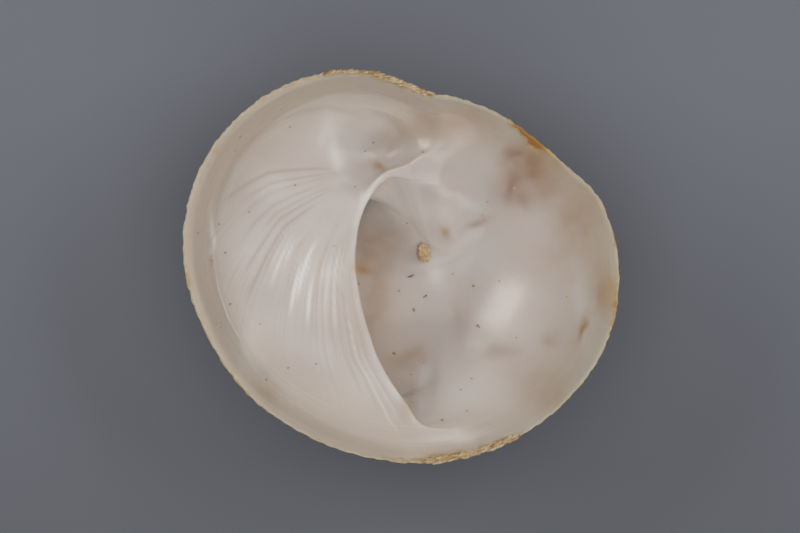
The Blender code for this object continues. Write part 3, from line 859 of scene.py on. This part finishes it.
def mark_shell(shell, way, ring, inward, x, y):
    """Give the shell the values that its two materials read."""
    angle, reach = fan(x, y)
    direction, round_hollow = bearing(x, y), way.degrees % 360
    from_rim = around(RIM, direction) - np.hypot(x, y)
    ragged = unevenness(direction / RIM_OCHRE_EDGE["long"], 0 * x, 31)
    ochre_depth = around(RIM_OCHRE_DEPTH, direction) * (1 + RIM_OCHRE_EDGE["ragged"] * ragged)
    ochre = around(RIM_OCHRE, direction) * ease(RIM_OCHRE_EDGE["full"] - from_rim / ochre_depth)
    # Where the lip's painted highlight and the pouch's warm tint, lightened as painted light, lie.
    lipped = within(-inward, *LIP_BAND["beyond"]) * within(round_hollow, *LIP_BAND["round"])
    pouched = ease(1 - inward / POUCH_BAND["reach"]) * within(round_hollow, *POUCH_BAND["round"])
    septum = on_top(ring) * way.share
    marks = {
        "fan": angle,
        "lip": lipped * septum,
        "pouch": pouched * (ring < first_ring(lip)),
        "septum": septum,
        # Where the strongest ridges get the painted highlight of their colour.
        "bold": fan_lines(x, y, BOLD_RIDGES_AND_HIGHLIGHTS) * septum,
        "dark": fan_lines(x, y, DARK_LINES) * septum,
        "fanned": fan_shown(angle, reach, LINES_SHOWN) * septum,
        "from_rim": from_rim,
        "edge_ochre": ochre,
    }
    for name, (end, length) in RIM_FADES.items():
        marks[name] = ease((end - from_rim) / length)
    # The stains, with painted shade among the brown and painted light among the pale.
    for name in STAINS_AND_PAINTED_LIGHT:
        marks["stain_" + name] = stain(x, y, name) * (ring < first_ring(outside))
    for name, values in marks.items():
        give_values(shell, name, values)


def make_shell():
    """The shell, and its surface for the small things to lie on."""
    rings = sum(RINGS.values())
    form = bmesh.new()
    bmesh.ops.create_uvsphere(form, u_segments=SECTORS, v_segments=rings, radius=1)
    ball = np.array([v.co for v in form.verts])
    ring = np.round(np.arccos(np.clip(ball[:, 2], -1, 1)) / np.pi * rings)
    turn = bearing(ball[:, 0], ball[:, 1])
    lean = np.radians(turn - CROWDED_DIRECTION)
    way = Way(turn - np.degrees(SECTOR_CROWDING) * np.sin(lean))
    points = place(ring, way.degrees)
    inward = way.edge - np.hypot(points[:, 0] - FLOOR_CENTRE[0], points[:, 1] - FLOOR_CENTRE[1])
    soften_slopes(form, points, ring, inward)
    add_relief(points, ring, way)
    points = np.stack(chipped(*points.T), axis=1)

    for vertex, point in zip(form.verts, points):
        vertex.co = point * MM
    surface = BVHTree.FromBMesh(form)
    shell = make_piece("shell_dressed", form)
    mark_shell(shell, way, ring, inward, points[:, 0], points[:, 1])
    outer = first_ring(outside)
    for face in shell.data.polygons:
        if ring[list(face.vertices)].min() >= outer:
            face.material_index = 1
    return shell, surface


def lie_on(surface, across, down):
    """The place and the slope of the surface under a pixel of the photograph."""
    x, y = seen(across, down)
    start = Vector((x, y, 2 * RIM_HEIGHT)) * MM
    at, normal, _, _ = surface.ray_cast(start, Vector((0, 0, -1)))
    return at, normal


def add_lump(form, at, normal, size, turn, levels, seed):
    """A small rough lump with its flat side along the surface, in millimetres."""
    lean = Vector((0, 0, 1)).rotation_difference(normal).to_matrix().to_4x4()
    pose = Matrix.Translation(at) @ lean @ Matrix.Rotation(np.radians(turn), 4, "Z")
    made = bmesh.ops.create_icosphere(form, subdivisions=levels, radius=1)["verts"]
    ball = np.array([v.co for v in made])
    rough = unevenness(ball[:, 0] * 1.6 + seed, ball[:, 1] * 1.6 + ball[:, 2] * 2.3, seed)
    fine = unevenness(ball[:, 0] * 4 + seed, ball[:, 1] * 4 - ball[:, 2] * 5, seed + 1)
    swell = 1 + LUMP_ROUGHNESS["wide"] * rough + LUMP_ROUGHNESS["fine"] * fine
    ball = ball * swell[:, None] * np.array(size) * MM
    for vertex, point in zip(made, ball):
        vertex.co = pose @ Vector(point)
    return made


def make_sand_grain(surface):
    """The lone grain of sand in the hollow."""
    form = bmesh.new()
    at, normal = lie_on(surface, *GRAIN["at"])
    middle = at + normal * GRAIN["lift"] * MM
    made = add_lump(form, middle, normal, GRAIN["size"], GRAIN["turn"], 5, 61)
    dent = at + Vector(GRAIN_DENT["at"]) * MM
    for vertex in made:
        away = (vertex.co - dent).length / (GRAIN_DENT["reach"] * MM)
        push = GRAIN_DENT["deep"] * MM * float(np.exp(-away * away))
        vertex.co += (vertex.co - dent).normalized() * push
    return make_piece("sand_grain", form)


def make_hairs(surface):
    """The short dark fibre beside the grain, and fine hairs by the rim."""
    form = bmesh.new()
    for across, down, turn, half_length, half_width in HAIRS:
        at, normal = lie_on(surface, across, down)
        made = bmesh.ops.create_uvsphere(form, u_segments=8, v_segments=14, radius=1)["verts"]
        for vertex in made:
            aside, up, along = vertex.co
            bent = half_width * aside + HAIR_BEND * half_length * along * along
            vertex.co = Vector((half_length * along, bent, half_width * up))
        bmesh.ops.rotate(form, verts=made, matrix=Matrix.Rotation(np.radians(turn), 3, "Z"))
        bmesh.ops.scale(form, verts=made, vec=(MM, MM, MM))
        bmesh.ops.translate(form, verts=made, vec=at + normal * half_width * HAIR_LIFT * MM)
    return make_piece("hairs", form)


def make_specks(surface):
    """The small flecks of dirt, each ochre, brown or pale."""
    form = bmesh.new()
    kinds = []
    for n, (across, down, radius, kind) in enumerate(SPECKS):
        at, normal = lie_on(surface, across, down)
        size = (radius * PIXEL, radius * PIXEL * SPECK_SHARE, SPECK_THICKNESS)
        made = add_lump(form, at, normal, size, 37 * n, 2, 70 + n)
        kinds += [kind] * len(made)
    specks = make_piece("specks", form)
    give_values(specks, "kind", kinds)
    return specks


def make_crust():
    """Torn flakes of the outer skin that lie over the rim's edge."""
    form = bmesh.new()
    shades = []
    dice = np.random.default_rng(81)
    for start, end, count, wide in CRUST:
        spread = dice.uniform(-FLAKE_SPREAD, FLAKE_SPREAD, count)
        for angle in np.linspace(start, end, count) + spread:
            x, y = np.cos(np.radians(angle)), np.sin(np.radians(angle))
            reach = float(around(RIM, np.array([angle]))[0]) - dice.uniform(FLAKE_INSET, wide)
            at = Vector((reach * x, reach * y, rim_height(angle) - FLAKE_INSET))
            size = dice.uniform(*FLAKE_SIZES)
            out = Vector((x, y, dice.uniform(*FLAKE_STEEPNESS))).normalized()
            turn = angle + 90 + dice.uniform(-FLAKE_TURN, FLAKE_TURN)
            made = add_lump(form, at * MM, out, size, turn, 2, 90 + len(shades))
            shades += [dice.uniform(0, 1) ** FLAKE_PALENESS] * len(made)
    crust = make_piece("rim_crust", form)
    give_values(crust, "kind", shades)
    return crust


class Finish:
    """A material or a node group that is being put together."""

    def __init__(self, tree, groups=None):
        self.tree = tree
        self.groups = groups

    def put(self, socket, value):
        """Set an input to a value, or join it to another node's output."""
        if isinstance(value, bpy.types.NodeSocket):
            self.tree.links.new(value, socket)
        else:
            socket.default_value = value

    def add(self, kind, inputs=None, **settings):
        """A node with its inputs set to a value or joined to another node's socket."""
        node = self.tree.nodes.new("ShaderNode" + kind)
        for name, value in settings.items():
            setattr(node, name, value)
        for name, value in (inputs or {}).items():
            self.put(node.inputs[name], value)
        return node

    def value(self, name):
        return self.add("Attribute", attribute_name=name).outputs["Fac"]

    def places(self):
        return self.add("TexCoord").outputs["Object"]

    def times(self, a, b):
        node = self.add("Math", operation="MULTIPLY", use_clamp=True)
        for socket, value in zip(node.inputs, (a, b)):
            self.put(socket, value)
        return node.outputs[0]

    def blend(self, share, low, high):
        """From the low colour to the high one, by the share."""
        node = self.add("Mix", data_type="RGBA")
        for at, value in zip(MIX_INPUTS, (share, low, high)):
            self.put(node.inputs[at], value)
        return node.outputs[MIX_RESULT]

    def spread(self, value, low, high, to_low=0.0, to_high=1.0):
        """The value's range from low to high, stretched to another range."""
        names = ("Value", "From Min", "From Max", "To Min", "To Max")
        inputs = dict(zip(names, (value, low, high, to_low, to_high)))
        return self.add("MapRange", inputs).outputs[0]

    def clouds(self, scale, low, high):
        """A mask of soft patches."""
        inputs = {"Place": self.places(), "Scale": scale, "From": low, "To": high}
        return self.add("Group", inputs, node_tree=self.groups["clouds"]).outputs["Mask"]

    def lines(self, along, scale, breaks):
        """The mask and the height of fine lines along which a value stays the same."""
        inputs = {"Along": self.value(along), "Scale": scale, "Place": self.places()}
        inputs["Break scale"] = breaks
        made = self.add("Group", inputs, node_tree=self.groups["lines"])
        return made.outputs["Mask"], made.outputs["Height"]

    def close(self, surface, colour, height, strength, distance):
        """Join the colour and a bump of the given height to the shader."""
        self.put(surface.inputs["Base Color"], colour)
        bump = self.add("Bump", {"Height": height, "Strength": strength, "Distance": distance})
        self.put(surface.inputs["Normal"], bump.outputs["Normal"])


def tone(name):
    """A named colour, turned from what a screen shows into the light it sends back."""
    shares = (np.array(TONES[name]) / 255 + 0.055) / 1.055
    return (*(float(s) for s in shares**2.4), 1.0)


def make_group(name, inputs, outputs, build):
    """An effect that several materials use."""
    tree = bpy.data.node_groups.new(name, "ShaderNodeTree")
    for socket, kind in inputs.items():
        tree.interface.new_socket(socket, in_out="INPUT", socket_type=kind)
    for socket, kind in outputs.items():
        tree.interface.new_socket(socket, in_out="OUTPUT", socket_type=kind)
    finish = Finish(tree)
    given = tree.nodes.new("NodeGroupInput")
    wanted = tree.nodes.new("NodeGroupOutput")
    for socket, made in build(finish, given.outputs).items():
        tree.links.new(made, wanted.inputs[socket])
    return tree


def build_clouds(finish, given):
    """Soft patches with wandering outlines."""
    noise = finish.add(
        "TexNoise", {"Vector": given["Place"], "Scale": given["Scale"], "Detail": 1.0}
    )
    inputs = {"Value": noise.outputs["Fac"], "From Min": given["From"], "From Max": given["To"]}
    ranged = finish.add("MapRange", inputs, interpolation_type="SMOOTHSTEP")
    return {"Mask": ranged.outputs[0]}


def build_lines(finish, given):
    """Fine lines along which a value stays the same, as a shell's growth lines."""
    inputs = {"W": given["Along"], "Scale": given["Scale"], "Detail": 3.0}
    wave = finish.add("TexNoise", inputs, noise_dimensions="1D")
    patch = finish.add("TexNoise", {"Vector": given["Place"], "Scale": given["Break scale"]})
    shown = finish.spread(patch.outputs["Fac"], 0.35, 0.65)
    mask = finish.spread(wave.outputs["Fac"], 0.45, 0.7)
    return {"Mask": finish.times(mask, shown), "Height": wave.outputs["Fac"]}


VALUE, PLACE = "NodeSocketFloat", "NodeSocketVector"


def make_groups():
    clouds = make_group(
        "clouds",
        {"Place": PLACE, "Scale": VALUE, "From": VALUE, "To": VALUE},
        {"Mask": VALUE},
        build_clouds,
    )
    lines = make_group(
        "growth_lines",
        {"Along": VALUE, "Scale": VALUE, "Place": PLACE, "Break scale": VALUE},
        {"Mask": VALUE, "Height": VALUE},
        build_lines,
    )
    return {"clouds": clouds, "lines": lines}


def start_material(name, groups, **plain):
    """A material with the values that are the same all over it on its own shader."""
    material = bpy.data.materials.new(name)
    material.use_nodes = True
    surface = material.node_tree.nodes["Principled BSDF"]
    for socket, value in plain.items():
        surface.inputs[socket.replace("_", " ")].default_value = value
    return material, Finish(material.node_tree, groups), surface


def make_inside(groups):
    """The glossy, faintly see-through white of the hollow and the septum."""
    material, finish, surface = start_material(
        "shell_inside", groups, IOR=1.6, Subsurface_Weight=0.8, Subsurface_Scale=0.0011
    )
    surface.inputs["Subsurface Radius"].default_value = (1.0, 0.75, 0.55)
    lines, line_height = finish.lines("fan", scale=0.75, breaks=300)
    rings, _ = finish.lines("from_rim", scale=3.0, breaks=200)
    off_septum = finish.spread(finish.value("septum"), 1.0, 0.0)
    near_rim = finish.value("beige")
    layers = (
        # Off the septum, lighter: painted light in the hollow's shade.
        (finish.times(off_septum, 0.6), "bowl"),
        # The pouch's warm tint, made lighter as painted light in its shade.
        (finish.value("pouch"), "pouch"),
        (finish.times(near_rim, 0.75), "beige"),
        (finish.times(finish.times(rings, near_rim), 0.35), "ring"),
        # Lighter along the free edge: a painted highlight over the lip's own bluish white.
        (finish.times(finish.value("lip"), 0.5), "lip"),
        # Pale spots: mostly painted highlights and lightening where shade falls, a few milky
        # patches of the shell's own.
        (finish.value("stain_pale"), "pale"),
        (finish.times(finish.times(lines, finish.value("fanned")), 0.28), "fan line"),
        (finish.times(finish.value("dark"), 0.6), "dark line"),
        # The strongest ridges' painted highlight.
        (finish.value("bold"), "painted ridge highlight"),
    )
    patches = finish.clouds(scale=220, low=0.25, high=0.75)
    colour = finish.blend(patches, tone("septum"), tone("septum shade"))
    for share, name in layers:
        colour = finish.blend(share, colour, tone(name))
    # Stains; the brown by the free edge, in the pit and in the slit is partly painted shade.
    for name in ("brown", "purple", "ochre"):
        stained = finish.value("stain_" + name)
        stained = finish.times(stained, finish.clouds(scale=500, low=0.0, high=0.55))
        colour = finish.blend(stained, colour, tone(name))
    mottles = finish.clouds(scale=2500, low=0.3, high=0.7)
    skin = finish.blend(mottles, tone("skin"), tone("skin shade"))
    at_edge = finish.value("edge_ochre")
    skin = finish.blend(finish.spread(at_edge, 0.75, 1.0), skin, tone("skin edge"))
    colour = finish.blend(at_edge, colour, skin)
    rough = finish.spread(finish.value("dull"), 0.0, 1.0, 0.23, 0.5)
    finish.put(surface.inputs["Roughness"], rough)
    finish.close(surface, colour, line_height, strength=0.12, distance=0.05 * MM)
    return material


def make_outside(groups):
    """The dull, tan skin of the outside, in growth rings."""
    material, finish, surface = start_material("shell_outside", groups, IOR=1.5, Roughness=0.6)
    rings, ring_height = finish.lines("from_rim", scale=5.0, breaks=320)
    patches = finish.clouds(scale=130, low=0.2, high=0.8)
    mottles = finish.clouds(scale=900, low=0.3, high=0.7)
    colour = finish.blend(patches, tone("outside"), tone("outside patch"))
    colour = finish.blend(finish.times(mottles, 0.25), colour, tone("outside mottle"))
    colour = finish.blend(finish.times(rings, 0.6), colour, tone("outside ring"))
    finish.close(surface, colour, ring_height, strength=0.5, distance=0.2 * MM)
    return material


def make_grain_finish(groups):
    """Tan sandstone with darker bits."""
    material, finish, surface = start_material("sand", groups, Roughness=0.6)
    bits = finish.clouds(scale=3200, low=0.3, high=0.7)
    colour = finish.blend(bits, tone("sand"), tone("sand shade"))
    finish.close(surface, colour, bits, strength=0.5, distance=0.05 * MM)
    return material


def make_dirt(name, groups):
    """Dirt whose pieces run from one colour to another, by each piece's kind."""
    material, finish, surface = start_material(name, groups, Roughness=0.65)
    light, middle, dark = (tone(f"{name} {depth}") for depth in ("light", "middle", "dark"))
    kind = finish.value("kind")
    mottles = finish.clouds(scale=3500, low=0.35, high=0.65)
    colour = finish.blend(finish.spread(kind, 0.0, 0.5), light, middle)
    colour = finish.blend(finish.spread(kind, 0.5, 1.0), colour, dark)
    colour = finish.blend(finish.times(mottles, 0.4), colour, dark)
    finish.close(surface, colour, mottles, strength=0.3, distance=0.03 * MM)
    return material


def make_floor(groups):
    """The plain pale table that the shell lies on, darker towards -Y as painted shade."""
    form = bmesh.new()
    bmesh.ops.create_grid(form, x_segments=1, y_segments=1, size=1.0)
    mesh = bpy.data.meshes.new("table")
    form.to_mesh(mesh)
    form.free()
    table = bpy.data.objects.new("table", mesh)
    bpy.context.scene.collection.objects.link(table)
    material, finish, surface = start_material("table", groups, Roughness=0.9)
    # Painted shade: the table's colour runs darker towards -Y.
    across = finish.add("SeparateXYZ", {"Vector": finish.places()})
    shade = finish.spread(across.outputs["Y"], *TABLE_SHADE)
    colour = finish.blend(shade, tone("table near"), tone("table far"))
    finish.put(surface.inputs["Base Color"], colour)
    mesh.materials.append(material)


def add_light(name, azimuth, elevation, distance, size, brightness, colour):
    """A soft box that faces the shell."""
    lamp = bpy.data.lights.new(name, "AREA")
    lamp.shape = "RECTANGLE"
    lamp.size, lamp.size_y = size
    lamp.energy = brightness * np.pi * size[0] * size[1]
    lamp.color = colour
    box = bpy.data.objects.new(name, lamp)
    turn, lift = np.radians(azimuth), np.radians(elevation)
    box.location = (
        distance * np.cos(lift) * np.cos(turn),
        distance * np.cos(lift) * np.sin(turn),
        distance * np.sin(lift),
    )
    box.rotation_euler = (np.pi / 2 - lift, 0, turn + np.pi / 2)
    bpy.context.scene.collection.objects.link(box)


def make_lights():
    for light in LIGHTS:
        add_light(*light)
    world = bpy.data.worlds.new("room")
    world.use_nodes = True
    for socket, value in ROOM.items():
        world.node_tree.nodes["Background"].inputs[socket].default_value = value
    bpy.context.scene.world = world


def make_camera():
    """Straight above the shell, far off, with the photograph's framing."""
    lens = bpy.data.cameras.new("camera")
    camera = bpy.data.objects.new("camera", lens)
    lens.sensor_width = 36
    lens.lens = lens.sensor_width * CAMERA_DISTANCE / (PHOTO_WIDTH * PIXEL * MM)
    lens.clip_end = 10
    x, y = seen(*PHOTO_MIDDLE)
    camera.location = (x * MM, y * MM, RIM_HEIGHT * MM + CAMERA_DISTANCE)
    bpy.context.scene.collection.objects.link(camera)
    bpy.context.scene.camera = camera


def main():
    groups = make_groups()
    make_camera()
    shell, surface = make_shell()
    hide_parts("shell")
    shell.data.materials.append(make_inside(groups))
    shell.data.materials.append(make_outside(groups))
    make_sand_grain(surface).data.materials.append(make_grain_finish(groups))
    make_specks(surface).data.materials.append(make_dirt("dirt", groups))
    make_hairs(surface).data.materials.append(make_dirt("hair", groups))
    make_crust().data.materials.append(make_dirt("crust", groups))
    make_floor(groups)
    make_lights()
    bpy.context.scene.view_settings.view_transform = "Standard"


main()
